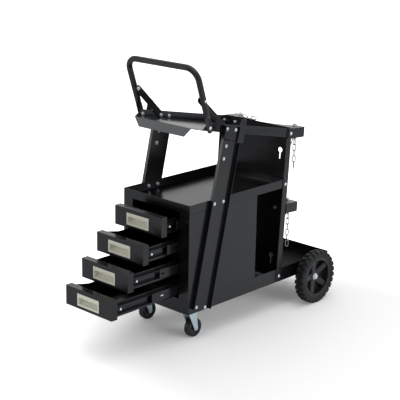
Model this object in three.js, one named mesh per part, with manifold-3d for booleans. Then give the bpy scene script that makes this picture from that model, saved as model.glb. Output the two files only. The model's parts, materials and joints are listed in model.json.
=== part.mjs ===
import * as THREE from 'three';
import { mergeVertices } from 'three/addons/utils/BufferGeometryUtils.js';
import loadManifold from 'manifold-3d';

// A four-drawer welding cart, in millimetres. X runs across the cart, Y from the cabinet front to the rear,
// Z up from the floor. The drawers stand open by the amounts in drawerOpen.

// Stock and fits
const sheet = 1.5;
const plate = 2;
const seam = 0.3;
const runningFit = 0.4;
const boreFit = 0.4;
const chainFit = 0.8;

// Base pan
const cartWidth = 300;
const baseLength = 741;
const baseClearance = 103;
const baseRailHeight = 48;

// Cabinet
const cabinetDepth = 329;
const cabinetHeight = 290;
const stileWidth = 42;
const cabinetReturn = 20;
const dividerFootGap = 6;

// Drawers, numbered from the top
const drawerOpen = [81, 161, 226, 294];
const drawerSideGap = 1.5;
const drawerTopGap = 3.6;
const drawerBottomGap = 1.4;
const drawerSpacing = 8.4;
const drawerFrontDepth = 25;
const drawerRearGap = 8;
const drawerBoxStep = 13.5;
const drawerWallDrop = 14;
const drawerFloorLift = 2;

// Telescopic slides
const slideHeight = 34;
const slideLip = 1.2;
const slideAboveDrawerBottom = 28.5;
const slideFrontGap = 2;
const slideRearGap = 2;

// Drawer pulls
const pullWidth = 100;
const pullHeight = 40.5;
const pullAboveDrawerBottom = 11;
const pullProud = 2;
const pullBorder = 3.5;
const pullWall = 2.5;
const pullDepth = 18;
const pullLipDrop = 6;
const pullScoop = 10;

// Mid shelf
const shelfHeight = 29.5;

// Front posts: channels that lean back
const frontLean = THREE.MathUtils.degToRad(12.8);
const frontPostWidth = 82;
const frontPostFlange = 12.5;
const frontPostLength = 602;
const frontPostFootY = 56.2;
const frontPostFootZ = 112.6;

// Rear posts: angles that lean back a little
const rearLean = THREE.MathUtils.degToRad(3.3);
const rearPostLeg = 25;
const rearPostInnerLeg = 16;
const rearPostLength = 537;
const rearPostFootY = 466.7;
const rearPostFootZ = 103.4;

// Back panel with keyholes
const backPanelWidth = 292;
const backPanelFoot = 8;
const backPanelDrop = 28;
const keyholeRadius = 9;
const keyholeSlot = 5;
const keyholeDrop = 31;
const upperKeyholeX = 111;
const upperKeyholeDrop = 47;
const lowerKeyholeX = 105;
const lowerKeyholeUp = 86;

// Top tray
const trayTilt = THREE.MathUtils.degToRad(11.7);
const trayRearY = 496.7;
const trayRearZ = 612.6;
const trayLength = 481.6;
const trayRailHeight = 31;
const trayRailFrontHeight = 24.5;
const trayNoseLength = 24.6;
const trayNoseInset = 23;
const trayLipDrop = 28.5;
const trayLipInset = 26;

// Handle
const handleLean = THREE.MathUtils.degToRad(18.83);
const handleBoltY = 82;
const handleBoltZ = 709;
const handleReach = 204.4;
const handleTail = 18;
const handleTube = 20;
const handleWall = 1.5;
const handleBend = 42;
const handleFlat = 5;
const handleFlatWidth = 26;
const handleFlatEnd = 30;
const handleRoundStart = 54;

// Struts between the handle and the tray, in the tray's own slope frame
const strutWidth = 22.5;
const strutLowY = -340.2;
const strutLowZ = 12.2;
const strutHighY = -473.6;
const strutHighZ = 92.2;
const strutSlant = 0.095;

// Cable hooks
const hookWidth = 26;
const hookOffset = -16;
const hookFoot = 480;
const hookArm = 557.5;
const hookReach = 210;
const hookTop = 632;

// Cylinder brackets
const bracketHeight = 35;
const bracketDepth = 60;
const upperBracketRise = 5.6;
const upperBracketSet = 6.2;
const upperBracketForward = 26;
const lowerBracketTop = 280;
const bracketNeck = 2.2;
const notchRadius = 170;

// Eye bolts and chains
const eyeX = 123;
const eyeSet = 45;
const eyeRing = 10;
const eyeWire = 2;
const eyeShank = 3;
const eyeDrop = 20;
const eyeNut = 6;
const eyeNutRadius = 6;
const eyeThread = 4;
const linkInner = 19.6;
const linkWidth = 13;
const linkWire = 3.2;
const linkOverlap = 0.6;
const hangAngle = THREE.MathUtils.degToRad(34);
const drapeLinks = 21;
const upperTailLinks = 6;
const lowerTailLinks = 7;

// Front casters
const casterX = 107;
const casterY = 52;
const casterTrail = 18;
const casterRadius = 32;
const casterTread = 24;
const casterPlateSize = 62;
const casterPlateThickness = 3;
const casterNeckRadius = 14;
const casterNeckHeight = 7.5;
const casterForkGap = 2.4;
const casterCrownThickness = 2.4;
const casterForkEye = 8.8;
const casterPin = 5;
const casterAxle = 4;
const casterAxleNut = 6.8;
const casterHubRadius = 9.6;
const casterWebRadius = 19.8;
const casterDish = 4.3;
const casterTreadRound = 2.9;

// Rear wheels
const wheelRadius = 95;
const wheelBead = 73;
const wheelWidth = 36;
const wheelTrack = 384;
const wheelY = 612;
const treadCount = 26;
const treadDepth = 5;
const treadBlockShare = 0.66;
const treadGapShare = 0.22;
const rimThickness = 11;
const rimInset = 2;
const spokeCount = 5;
const spokeWidth = 25;
const spokeThickness = 12;
const spokeRise = 12;
const rimWeb = 4;
const spokeTurn = THREE.MathUtils.degToRad(16);
const hubRadius = 20;
const hubLength = 31;
const hubRecess = 18;
const axleRadius = 6;
const axleOverhang = 8;
const axleNutRadius = 11;
const axleNutLength = 6;
const axleBracketLength = 64;
const axleBracketDrop = 19;
const axleBracketThickness = 3;
const axleBracketTab = 25;
const axleBracketTabLength = 20;

// Heights and positions that follow from the sizes above
const half = cartWidth / 2;
const baseTop = baseClearance + baseRailHeight;
const cabinetFoot = baseTop + seam;
const cabinetTop = cabinetFoot + cabinetHeight;
const shelfBottom = cabinetTop + seam;
const openingHalf = half - stileWidth;
const frontHalf = openingHalf - drawerSideGap;
const boxHalf = frontHalf - drawerBoxStep;
const drawerStack = shelfBottom - baseTop - drawerTopGap - drawerBottomGap;
const drawerHeight = (drawerStack - drawerSpacing * (drawerOpen.length - 1)) / drawerOpen.length;
const dividerRear = cabinetDepth - sheet - seam;
const drawerLength = dividerRear - sheet - drawerRearGap;
const slideFront = drawerFrontDepth + slideFrontGap;
const slideRear = dividerRear - sheet - slideRearGap;
const rackInner = frontHalf;
const postInner = half + seam;
const railSideY = rearPostFootY + (shelfBottom - rearPostFootZ) * Math.tan(rearLean);
const shelfRear = railSideY - (plate + sheet + 2 * seam) / Math.cos(rearLean);
const backPanelTop = rearPostLength - backPanelDrop;
const upperKeyholeUp = backPanelTop - upperKeyholeDrop;
const upperBracketTop = rearPostLength + upperBracketRise;
const linkSpacing = linkInner + linkOverlap;

// Materials
const powderCoat = { color: 0x2b2c2e, roughness: 0.4, metalness: 0.1 };
const zinc = { color: 0xb9bec2, roughness: 0.35, metalness: 0.9 };
const ivory = { color: 0xc8c8bb, roughness: 0.5, metalness: 0 };
const rubber = { color: 0x1d1d1e, roughness: 0.8, metalness: 0 };
const slideBlack = { color: 0x26272a, roughness: 0.45, metalness: 0.3 };
const darkPlastic = { color: 0x242527, roughness: 0.5, metalness: 0 };

const wasm = await loadManifold();
wasm.setup();

// Shape helpers
function welded(geometry) {
  const plain = geometry.clone();
  plain.deleteAttribute('normal');
  plain.deleteAttribute('uv');
  return mergeVertices(plain);
}

function solidOf(geometry) {
  const closed = welded(geometry);
  const mesh = new wasm.Mesh({
    numProp: 3,
    vertProperties: new Float32Array(closed.attributes.position.array),
    triVerts: new Uint32Array(closed.index.array),
  });
  return new wasm.Manifold(mesh);
}

function geometryOf(solid) {
  const mesh = solid.getMesh();
  const geometry = new THREE.BufferGeometry();
  geometry.setAttribute('position', new THREE.BufferAttribute(new Float32Array(mesh.vertProperties), 3));
  geometry.setIndex(new THREE.BufferAttribute(new Uint32Array(mesh.triVerts), 1));
  return geometry;
}

function join(...geometries) {
  const solids = geometries.map(solidOf);
  return geometryOf(solids.reduce((whole, next) => whole.add(next)));
}

function cut(geometry, ...tools) {
  const solids = tools.map(solidOf);
  return geometryOf(solids.reduce((whole, next) => whole.subtract(next), solidOf(geometry)));
}

function mirrored(geometry) {
  const copy = welded(geometry);
  copy.applyMatrix4(new THREE.Matrix4().makeScale(-1, 1, 1));
  const corners = copy.index.array;
  for (let i = 0; i < corners.length; i += 3) {
    const first = corners[i];
    corners[i] = corners[i + 1];
    corners[i + 1] = first;
  }
  return copy;
}

function block(x0, x1, y0, y1, z0, z1) {
  const geometry = new THREE.BoxGeometry(x1 - x0, y1 - y0, z1 - z0);
  return geometry.translate((x0 + x1) / 2, (y0 + y1) / 2, (z0 + z1) / 2);
}

function outlineShape(points, holes) {
  const shape = new THREE.Shape(points.map(([a, b]) => new THREE.Vector2(a, b)));
  for (const hole of holes) {
    shape.holes.push(new THREE.Path(hole.map(([a, b]) => new THREE.Vector2(a, b))));
  }
  return shape;
}

function slab(points, depth, holes = []) {
  return new THREE.ExtrudeGeometry(outlineShape(points, holes), { depth, bevelEnabled: false });
}

// Outline in X and Y, raised from z0 to z1
function prismZ(points, z0, z1, holes) {
  return slab(points, z1 - z0, holes).translate(0, 0, z0);
}

// Outline in Y and Z, drawn out from x0 to x1
function prismX(points, x0, x1, holes) {
  const turn = new THREE.Matrix4().makeBasis(
    new THREE.Vector3(0, 1, 0),
    new THREE.Vector3(0, 0, 1),
    new THREE.Vector3(1, 0, 0),
  );
  return slab(points, x1 - x0, holes).applyMatrix4(turn).translate(x0, 0, 0);
}

// Outline in X and Z, drawn out from y0 to y1
function prismY(points, y0, y1, holes) {
  const turn = new THREE.Matrix4().makeBasis(
    new THREE.Vector3(1, 0, 0),
    new THREE.Vector3(0, 0, 1),
    new THREE.Vector3(0, -1, 0),
  );
  return slab(points, y1 - y0, holes).applyMatrix4(turn).translate(0, y1, 0);
}

function arc(cx, cy, radius, from, to, steps) {
  const points = [];
  for (let i = 0; i <= steps; i += 1) {
    const angle = from + ((to - from) * i) / steps;
    points.push([cx + radius * Math.cos(angle), cy + radius * Math.sin(angle)]);
  }
  return points;
}

function ring(radius, steps) {
  return arc(0, 0, radius, 0, 2 * Math.PI, steps).slice(0, steps);
}

function rodX(radius, x0, x1, y, z, sides) {
  const geometry = new THREE.CylinderGeometry(radius, radius, x1 - x0, sides);
  return geometry.rotateZ(Math.PI / 2).translate((x0 + x1) / 2, y, z);
}

function rodZ(radius, x, y, z0, z1, sides) {
  const geometry = new THREE.CylinderGeometry(radius, radius, z1 - z0, sides);
  return geometry.rotateX(Math.PI / 2).translate(x, y, (z0 + z1) / 2);
}

function piece(parent, name, geometry, look) {
  const shown = geometry.index ? geometry.toNonIndexed() : geometry;
  shown.computeVertexNormals();
  const mesh = new THREE.Mesh(shown, new THREE.MeshStandardMaterial(look));
  mesh.name = name;
  parent.add(mesh);
}

function pair(parent, name, geometry, look) {
  piece(parent, `${name}_right`, geometry, look);
  piece(parent, `${name}_left`, mirrored(geometry), look);
}

function frame(parent, x, y, z, tilt = 0) {
  const group = new THREE.Group();
  group.position.set(x, y, z);
  group.rotation.x = tilt;
  parent.add(group);
  return group;
}

// A path given by its stations, so that a tube has rings only where it bends
class StationPath extends THREE.Curve {
  constructor(points, tangents) {
    super();
    this.points = points;
    this.tangents = tangents;
  }

  getPointAt(share) {
    return this.points[Math.round(share * (this.points.length - 1))].clone();
  }

  getTangentAt(share) {
    return this.tangents[Math.round(share * (this.points.length - 1))].clone();
  }
}

// Base pan: a folded tray with a rail on all four sides
function basePan() {
  return cut(
    block(-half, half, 0, baseLength, baseClearance, baseTop),
    block(-half + sheet, half - sheet, sheet, baseLength - sheet, baseClearance + sheet, baseTop + sheet),
  );
}

// Cabinet side: panel, front stile and rear return in one folded sheet
function cabinetSide() {
  const outline = [
    [openingHalf, 0],
    [half, 0],
    [half, cabinetDepth],
    [half - cabinetReturn, cabinetDepth],
    [half - cabinetReturn, cabinetDepth - sheet],
    [half - sheet, cabinetDepth - sheet],
    [half - sheet, sheet],
    [openingHalf, sheet],
  ];
  return prismZ(outline, cabinetFoot, cabinetTop);
}

function cabinetDivider() {
  const side = half - sheet - seam;
  const foot = baseClearance + sheet + dividerFootGap;
  return block(-side, side, dividerRear - sheet, dividerRear, foot, cabinetTop - seam);
}

function midShelf() {
  const top = shelfBottom + shelfHeight;
  return cut(
    block(-half, half, 0, shelfRear, shelfBottom, top),
    block(-half + sheet, half - sheet, sheet, shelfRear - sheet, shelfBottom + sheet, top + sheet),
  );
}

function drawerFoot(number) {
  const step = drawerHeight + drawerSpacing;
  return shelfBottom - drawerTopGap - drawerHeight - number * step;
}

// Slide rack: a carrier panel inside the cabinet side, with the fixed channel of each slide on it
function slideRack() {
  const reach = half - sheet - seam;
  const carrier = [
    [rackInner, slideFront],
    [reach, slideFront],
    [reach, slideFront + sheet],
    [rackInner + sheet, slideFront + sheet],
    [rackInner + sheet, slideRear - sheet],
    [reach, slideRear - sheet],
    [reach, slideRear],
    [rackInner, slideRear],
  ];
  const lips = [];
  const lipInner = boxHalf + runningFit + slideLip;
  for (let number = 0; number < drawerOpen.length; number += 1) {
    const middle = drawerFoot(number) + slideAboveDrawerBottom;
    for (const side of [-1, 1]) {
      const outer = middle + (side * slideHeight) / 2;
      const inner = outer - side * slideLip;
      const low = Math.min(outer, inner);
      const high = Math.max(outer, inner);
      lips.push(block(lipInner, rackInner + sheet / 2, slideFront, slideRear, low, high));
    }
  }
  return join(prismZ(carrier, cabinetFoot + seam, cabinetTop - seam), ...lips);
}

// Middle slide member: a channel that nests in the fixed one; its own frame has Y = 0 at its front end
function runner() {
  const back = rackInner - runningFit;
  const high = slideHeight / 2 - slideLip - runningFit;
  const tip = boxHalf + runningFit;
  const outline = [
    [tip, -high],
    [back, -high],
    [back, high],
    [tip, high],
    [tip, high - slideLip],
    [back - slideLip, high - slideLip],
    [back - slideLip, -high + slideLip],
    [tip, -high + slideLip],
  ];
  return prismY(outline, 0, slideRear - slideFront);
}

// Drawer: folded hollow front, box and the inner slide members; Y = 0 at the front face, Z = 0 at its foot
function drawer() {
  const wallTop = drawerHeight - drawerWallDrop;
  const frontRear = drawerFrontDepth - sheet;
  const front = cut(
    block(-frontHalf, frontHalf, 0, drawerFrontDepth, 0, drawerHeight),
    block(
      -frontHalf + sheet,
      frontHalf - sheet,
      sheet,
      drawerFrontDepth + sheet,
      sheet,
      drawerHeight - sheet,
    ),
  );
  const box = cut(
    block(-boxHalf, boxHalf, frontRear, drawerLength, drawerFloorLift, wallTop),
    block(
      -boxHalf + sheet,
      boxHalf - sheet,
      drawerFrontDepth,
      drawerLength - sheet,
      drawerFloorLift + sheet,
      wallTop + sheet,
    ),
  );
  const screenTop = drawerHeight - sheet / 2;
  const screen = block(-boxHalf, boxHalf, frontRear, drawerFrontDepth, drawerFloorLift, screenTop);
  const members = [];
  const memberHalf = slideHeight / 2 - 2 * slideLip - 2 * runningFit;
  const memberTip = rackInner - 2 * runningFit - slideLip;
  for (const side of [-1, 1]) {
    const outline = [
      [side * (boxHalf - sheet / 2), slideAboveDrawerBottom - memberHalf],
      [side * memberTip, slideAboveDrawerBottom - memberHalf],
      [side * memberTip, slideAboveDrawerBottom - memberHalf + slideLip],
      [side * (boxHalf + slideLip), slideAboveDrawerBottom - memberHalf + slideLip],
      [side * (boxHalf + slideLip), slideAboveDrawerBottom + memberHalf - slideLip],
      [side * memberTip, slideAboveDrawerBottom + memberHalf - slideLip],
      [side * memberTip, slideAboveDrawerBottom + memberHalf],
      [side * (boxHalf - sheet / 2), slideAboveDrawerBottom + memberHalf],
    ];
    members.push(prismY(outline, drawerFrontDepth - sheet / 2, drawerLength));
  }
  const mouth = block(
    -pullWidth / 2 + pullBorder - seam,
    pullWidth / 2 - pullBorder + seam,
    -sheet,
    2 * sheet,
    pullAboveDrawerBottom + pullBorder - seam,
    pullAboveDrawerBottom + pullHeight - pullBorder + seam,
  );
  return cut(join(front, box, screen, ...members), mouth);
}

// Drawer pull: a cup with a border, a gripping lip at the top and a sloped foot
function drawerPull() {
  const low = pullAboveDrawerBottom;
  const high = pullAboveDrawerBottom + pullHeight;
  const side = pullWidth / 2;
  const border = block(-side, side, -pullProud - seam, -seam, low, high);
  const cup = block(
    -side + pullBorder,
    side - pullBorder,
    -seam - pullProud / 2,
    pullDepth,
    low + pullBorder,
    high - pullBorder,
  );
  const floor = low + pullBorder + pullWall;
  const roof = high - pullBorder - pullWall;
  const back = pullDepth - pullWall;
  const lip = roof - pullLipDrop;
  const recess = [
    [-2 * pullProud, floor],
    [0, floor],
    [back / 2, floor + pullWall],
    [back, floor + pullScoop],
    [back, roof - pullWall],
    [back - pullWall, roof],
    [pullWall, roof],
    [0, lip],
    [-2 * pullProud, lip],
  ];
  const inside = side - pullBorder - pullWall;
  return cut(join(border, cup), prismX(recess, -inside, inside));
}

// Front post: a channel that opens outwards, in its own leaning frame
function frontPost() {
  const wide = frontPostWidth / 2;
  const edge = postInner + frontPostFlange;
  const outline = [
    [postInner, -wide],
    [edge, -wide],
    [edge, -wide + plate],
    [postInner + plate, -wide + plate],
    [postInner + plate, wide - plate],
    [edge, wide - plate],
    [edge, wide],
    [postInner, wide],
  ];
  return prismZ(outline, 0, frontPostLength);
}

// Cable hook: a strap on the post's web that runs out and turns up
function cableHook() {
  const root = postInner + plate + seam;
  const outline = [
    [root, hookFoot],
    [root + plate, hookFoot],
    [root + plate, hookArm - plate],
    [hookReach, hookArm - plate],
    [hookReach, hookTop],
    [hookReach - plate, hookTop],
    [hookReach - plate, hookArm],
    [root, hookArm],
  ];
  return prismY(outline, hookOffset - hookWidth / 2, hookOffset + hookWidth / 2);
}

// Rear post: an angle whose rear leg stops short of the base rail and of the top tray
function rearPost() {
  const legFoot = (baseTop + 4 * seam - rearPostFootZ) / Math.cos(rearLean);
  const outer = postInner + plate;
  return join(
    block(postInner, outer, -rearPostLeg, 0, 0, rearPostLength),
    block(outer - rearPostInnerLeg, outer - plate / 2, -plate, 0, legFoot, backPanelTop),
  );
}

function keyhole(x, up) {
  const spread = Math.asin(keyholeSlot / 2 / keyholeRadius);
  const from = -Math.PI / 2 + spread;
  const to = (3 * Math.PI) / 2 - spread;
  const bottom = up - keyholeDrop;
  return [
    ...arc(x, up, keyholeRadius, from, to, 14),
    [x - keyholeSlot / 2, bottom],
    [x + keyholeSlot / 2, bottom],
  ];
}

function backPanel() {
  const side = backPanelWidth / 2;
  const outline = [
    [-side, backPanelFoot],
    [side, backPanelFoot],
    [side, backPanelTop],
    [-side, backPanelTop],
  ];
  const holes = [
    keyhole(-upperKeyholeX, upperKeyholeUp),
    keyhole(upperKeyholeX, upperKeyholeUp),
    keyhole(-lowerKeyholeX, lowerKeyholeUp),
    keyhole(lowerKeyholeX, lowerKeyholeUp),
  ];
  const rear = -plate - seam;
  return prismY(outline, rear - sheet, rear, holes);
}

// Top tray in its own slope frame: Y = 0 at the rear wall, Z = 0 under the floor
function topTray() {
  const railFront = -trayLength + trayNoseLength;
  const nose = half - trayNoseInset;
  const floor = [
    [-half, 0],
    [-half, railFront],
    [-nose, -trayLength],
    [nose, -trayLength],
    [half, railFront],
    [half, 0],
  ];
  const rail = [
    [railFront, 0],
    [0, 0],
    [0, trayRailHeight],
    [railFront + trayRailFrontHeight, trayRailFrontHeight],
  ];
  const lip = [
    [-nose, sheet],
    [-nose + trayLipInset, -trayLipDrop],
    [nose - trayLipInset, -trayLipDrop],
    [nose, sheet],
  ];
  return join(
    prismZ(floor, 0, sheet),
    prismX(rail, half - sheet, half),
    prismX(rail, -half, -half + sheet),
    block(-half, half, -sheet, 0, 0, trayRailHeight),
    prismY(lip, -trayLength, -trayLength + sheet),
  );
}

// Handle: a bent tube whose two ends are pressed flat against the outside of the tray rails
function handleTubeShape() {
  const legX = postInner + handleFlat / 2;
  const points = [];
  const tangents = [];
  const station = (x, z, tx, tz) => {
    points.push(new THREE.Vector3(x, 0, z));
    tangents.push(new THREE.Vector3(tx, 0, tz).normalize());
  };
  const bendSteps = 6;
  const bendZ = handleReach - handleBend;
  station(legX, -handleTail, 0, 1);
  station(legX, handleFlatEnd, 0, 1);
  station(legX, handleRoundStart, 0, 1);
  for (let i = 0; i <= bendSteps; i += 1) {
    const angle = ((Math.PI / 2) * i) / bendSteps;
    const x = legX - handleBend + handleBend * Math.cos(angle);
    station(x, bendZ + handleBend * Math.sin(angle), -Math.sin(angle), Math.cos(angle));
  }
  for (let i = bendSteps; i >= 0; i -= 1) {
    const angle = ((Math.PI / 2) * i) / bendSteps;
    const x = -legX + handleBend - handleBend * Math.cos(angle);
    station(x, bendZ + handleBend * Math.sin(angle), -Math.sin(angle), -Math.cos(angle));
  }
  station(-legX, handleRoundStart, 0, -1);
  station(-legX, handleFlatEnd, 0, -1);
  station(-legX, -handleTail, 0, -1);
  const radius = handleTube / 2;
  const bore = radius - handleWall;
  const section = outlineShape(ring(radius, 16), [ring(bore, 16)]);
  const path = new StationPath(points, tangents);
  const tube = new THREE.ExtrudeGeometry(section, {
    steps: points.length - 1,
    bevelEnabled: false,
    extrudePath: path,
  });
  const position = tube.attributes.position;
  const wall = (radius + bore) / 2;
  for (let i = 0; i < position.count; i += 1) {
    const z = position.getZ(i);
    if (z < (handleFlatEnd + handleRoundStart) / 2) {
      const centre = Math.sign(position.getX(i)) * legX;
      const offset = position.getX(i) - centre;
      const y = position.getY(i);
      const outside = Math.hypot(offset, y) > wall;
      const squeeze = outside ? handleFlat / handleTube : (handleFlat - 2 * handleWall) / (2 * bore);
      const spread = outside ? handleFlatWidth / handleTube : (handleFlatWidth - 2 * handleWall) / (2 * bore);
      position.setX(i, centre + offset * squeeze);
      position.setY(i, y * spread);
    }
  }
  return tube;
}

// Strut: a flat bar from the post's first bolt up to the handle, inside the rail, leaning a little inwards
function handleStrut() {
  const reach = strutWidth / 2;
  const along = Math.atan2(strutHighZ - strutLowZ, strutHighY - strutLowY);
  const floor = sheet + 2 * seam;
  const lowEnd = -Math.asin((strutLowZ - floor) / reach);
  const upper = along - Math.PI / 2;
  const lowSide = [
    strutLowY + reach * Math.cos(upper + Math.PI),
    strutLowZ + reach * Math.sin(upper + Math.PI),
  ];
  const shift = (floor - lowSide[1]) / Math.tan(along);
  const outline = [
    ...arc(strutLowY, strutLowZ, reach, lowEnd, upper, 8),
    ...arc(strutHighY, strutHighZ, reach, upper, upper + Math.PI, 10),
    [lowSide[0] + shift, floor],
  ];
  const outer = half - sheet - seam;
  const bar = prismX(outline, outer - plate, outer);
  const position = bar.attributes.position;
  for (let i = 0; i < position.count; i += 1) {
    position.setX(i, position.getX(i) - strutSlant * (position.getZ(i) - floor));
  }
  return bar;
}

// Cylinder bracket: top plate with a round notch, front flange and two side flanges
function tankBracket(front, top, forward, side) {
  const rear = front + bracketDepth;
  const centre = front + bracketNeck + notchRadius;
  const reach = Math.acos((centre - rear) / notchRadius);
  const outline = [
    [-side, front],
    [side, front],
    [side, rear],
    ...arc(0, centre, notchRadius, -Math.PI / 2 + reach, -Math.PI / 2 - reach, 14),
    [-side, rear],
  ];
  const foot = top - bracketHeight;
  const body = join(
    prismZ(outline, top - plate, top),
    block(-side, side, front, front + plate, foot, top),
    block(side - plate, side, front - forward, rear, foot, top),
    block(-side, -side + plate, front - forward, rear, foot, top),
  );
  const hole = eyeShank + boreFit;
  return cut(
    body,
    rodZ(hole, eyeX, front + eyeSet, top - 2 * plate, top + plate, 16),
    rodZ(hole, -eyeX, front + eyeSet, top - 2 * plate, top + plate, 16),
  );
}

// Eye bolt with its nut; Z = 0 at the bracket's top face
function eyeBolt() {
  const centre = -eyeDrop;
  const eye = new THREE.TorusGeometry(eyeRing, eyeWire, 8, 20).rotateX(Math.PI / 2).translate(0, 0, centre);
  const collar = -plate - seam;
  return join(
    eye,
    rodZ(eyeShank, 0, 0, centre + eyeRing, eyeNut + eyeThread, 12),
    rodZ(eyeShank + plate, 0, 0, collar - plate, collar, 12),
    rodZ(eyeNutRadius, 0, 0, seam, eyeNut, 6),
  );
}

// One chain link along Z, its middle at the origin; its flat side faces X, or Y when turned
function chainLink(turned) {
  const radius = (linkWidth - linkWire) / 2;
  const straight = (linkInner + linkWire) / 2 - radius;
  const link = new THREE.TorusGeometry(radius, linkWire / 2, 5, 8).rotateZ(Math.PI / 8);
  const position = link.attributes.position;
  for (let i = 0; i < position.count; i += 1) {
    const y = position.getY(i);
    position.setY(i, y + Math.sign(y) * straight);
  }
  link.rotateX(Math.PI / 2);
  return turned ? link : link.rotateZ(Math.PI / 2);
}

// Points of a chain hung between x = -span and x = span, its ends at z = 0
function drapePoints(span, links) {
  const length = links * linkSpacing;
  let low = 1;
  let high = 40 * span;
  for (let i = 0; i < 80; i += 1) {
    const middle = (low + high) / 2;
    if (2 * middle * Math.sinh(span / middle) > length) {
      low = middle;
    } else {
      high = middle;
    }
  }
  const flatness = high;
  const lift = Math.hypot(flatness, length / 2);
  const points = [];
  for (let i = 0; i <= links; i += 1) {
    const way = -length / 2 + i * linkSpacing;
    points.push([flatness * Math.asinh(way / flatness), Math.hypot(flatness, way) - lift]);
  }
  return points;
}

function chainAlong(points) {
  const links = [];
  for (let i = 0; i + 1 < points.length; i += 1) {
    const [x0, z0] = points[i];
    const [x1, z1] = points[i + 1];
    const link = chainLink(i % 2 === 1);
    link.rotateY(Math.atan2(x1 - x0, z1 - z0));
    links.push(link.translate((x0 + x1) / 2, 0, (z0 + z1) / 2));
  }
  return join(...links);
}

// Where a chain hangs in an eye: beside the lowest point of the ring, and how far its first point lies on
const hangRadius = eyeRing - eyeWire - linkWire / 2 - chainFit;
const hangX = hangRadius * Math.sin(hangAngle);
const hangZ = -hangRadius * Math.cos(hangAngle);
const hangStart = (linkInner + linkWire - linkSpacing) / 2;

function chainDrape() {
  const span = eyeX - hangX - seam;
  const points = drapePoints(span, drapeLinks);
  return chainAlong(points.map(([x, z]) => [x, z + hangZ - hangStart]));
}

function chainTail(links) {
  const points = [];
  for (let i = 0; i <= links; i += 1) {
    points.push([hangX, hangZ - hangStart - i * linkSpacing]);
  }
  return chainAlong(points);
}

// Caster top plate with its neck and king pin; Z = 0 at the plate's top
function casterPlate() {
  const side = casterPlateSize / 2;
  const neckFoot = -casterPlateThickness - casterNeckHeight;
  const pinFoot = neckFoot - casterCrownThickness - 2 * runningFit;
  const headFoot = pinFoot - casterCrownThickness;
  return join(
    block(-side, side, -side, side, -casterPlateThickness, 0),
    rodZ(casterNeckRadius, 0, 0, neckFoot, -casterPlateThickness / 2, 20),
    rodZ(casterPin, 0, 0, headFoot, neckFoot + casterPlateThickness, 16),
    rodZ(casterPin + plate, 0, 0, headFoot, pinFoot, 16),
  );
}

// Caster fork with its axle; the frame is the plate's
function casterFork(axleZ) {
  const crownTop = -casterPlateThickness - casterNeckHeight - runningFit;
  const crownFoot = crownTop - casterCrownThickness;
  const inside = casterTread / 2 + casterForkGap;
  const crownHalf = casterNeckRadius + plate;
  const cheek = [
    [-crownHalf, crownTop],
    [-crownHalf, crownFoot - casterCrownThickness],
    ...arc(casterTrail, axleZ, casterForkEye, Math.PI, 2 * Math.PI, 8),
    [crownHalf + plate, crownTop],
  ];
  const crown = block(-inside - plate, inside + plate, -crownHalf, crownHalf, crownFoot, crownTop);
  const reach = inside + 2 * plate;
  const body = join(
    crown,
    prismX(cheek, inside, inside + plate),
    prismX(cheek, -inside - plate, -inside),
    rodX(casterAxle, -reach, reach, casterTrail, axleZ, 14),
    rodX(casterAxleNut, inside + plate / 2, reach, casterTrail, axleZ, 6),
    rodX(casterAxleNut, -reach, -inside - plate / 2, casterTrail, axleZ, 6),
  );
  return cut(body, rodZ(casterPin + boreFit, 0, 0, crownFoot - plate, crownTop + plate, 20));
}

// Caster wheel about X, centred on its axle
function casterWheel() {
  const wide = casterTread / 2;
  const bore = casterAxle + boreFit;
  const web = wide - casterDish;
  const shoulder = casterRadius - casterTreadRound;
  const tread = wide - casterTreadRound;
  const outline = [
    [bore, -wide],
    [casterHubRadius, -wide],
    [casterHubRadius, -web],
    [casterWebRadius, -web],
    [casterWebRadius, -wide],
    [shoulder, -wide],
    [casterRadius, -tread],
    [casterRadius, tread],
    [shoulder, wide],
    [casterWebRadius, wide],
    [casterWebRadius, web],
    [casterHubRadius, web],
    [casterHubRadius, wide],
    [bore, wide],
    [bore, -wide],
  ];
  const wheel = new THREE.LatheGeometry(outline.map(([r, x]) => new THREE.Vector2(r, x)), 32);
  return wheel.rotateZ(-Math.PI / 2);
}

// Rear tyre about X with tread blocks round its edge; X = 0 at the middle of its width
function rearTyre() {
  const outline = [];
  const step = (2 * Math.PI) / treadCount;
  const block = (treadBlockShare * step) / 2;
  const gap = (treadGapShare * step) / 2;
  for (let i = 0; i < treadCount; i += 1) {
    const middle = -Math.PI / 2 + i * step;
    const groove = middle + step / 2;
    outline.push([wheelRadius, middle - block]);
    outline.push([wheelRadius, middle]);
    outline.push([wheelRadius, middle + block]);
    outline.push([wheelRadius - treadDepth, groove - gap]);
    outline.push([wheelRadius - treadDepth, groove + gap]);
  }
  const points = outline.map(([r, angle]) => [r * Math.cos(angle), r * Math.sin(angle)]);
  return prismX(points, -wheelWidth / 2, wheelWidth / 2, [ring(wheelBead, 40)]);
}

// Rear rim about X: ring, closed web, hub and thick spokes that rise outwards from the hub to the ring
function rearRim() {
  const outer = wheelBead - seam;
  const inner = outer - rimThickness;
  const wide = wheelWidth / 2 - rimInset;
  const face = wheelWidth / 2 - hubRecess;
  const back = face - spokeThickness;
  const front = face - plate / 2;
  const spokeEnd = inner + rimThickness / 2;
  const band = prismX(ring(outer, 40), -wide, wide, [ring(inner, 40)]);
  const web = prismX(ring(spokeEnd, 40), back, back + rimWeb);
  const profile = [
    [back, hubRadius / 2],
    [front, hubRadius / 2],
    [front + spokeRise, spokeEnd],
    [back, spokeEnd],
  ];
  const spokes = [];
  for (let i = 0; i < spokeCount; i += 1) {
    const spoke = prismY(profile, -spokeWidth / 2, spokeWidth / 2);
    spokes.push(spoke.rotateX(spokeTurn + (2 * Math.PI * i) / spokeCount));
  }
  const hub = rodX(hubRadius, face - hubLength, face, 0, 0, 28);
  const bore = rodX(axleRadius + boreFit, -wheelWidth, wheelWidth, 0, 0, 20);
  return cut(join(band, web, hub, ...spokes), bore);
}

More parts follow.
